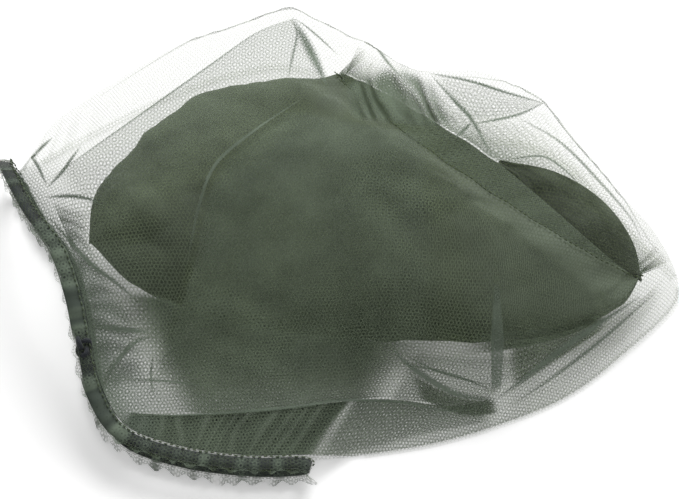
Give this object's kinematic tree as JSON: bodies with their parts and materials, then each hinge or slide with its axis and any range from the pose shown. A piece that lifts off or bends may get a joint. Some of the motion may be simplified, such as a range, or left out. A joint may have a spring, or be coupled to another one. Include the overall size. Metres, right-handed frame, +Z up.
{
  "type": "beekeeping veil",
  "caption": "Soft beekeeping veil lying flat: a bag of fine net with a gathered elastic hem round the neck and a close-woven cap sewn inside it.",
  "frame": {"origin": "middle of the veil's bounding box, on the table that it lies on", "axes": "+Z is up, +X runs from the neck hem to the pointed end of the bag, +Y runs from the near side to the far side"},
  "size_m": [0.3516, 0.2674, 0.0896],
  "materials": {
    "olive_net": "fine knitted net, matt",
    "olive_cloth": "close plain weave, matt",
    "black_elastic": "braided flat elastic, matt",
    "olive_thread": "sewing thread, matt"
  },
  "bodies": {
    "root": {"net_upper_panel": "olive_net", "net_lower_panel": "olive_net", "net_turn_in": "olive_net", "cap_crown": "olive_cloth", "rim_stitching": "olive_thread", "hem_casing": "olive_net", "hem_ruffle": "olive_net", "neck_elastic": "black_elastic", "hem_stitching": "olive_thread", "elastic_knot": "black_elastic", "near_side_seam": "olive_thread", "far_side_seam": "olive_thread"}
  },
  "joints": []
}
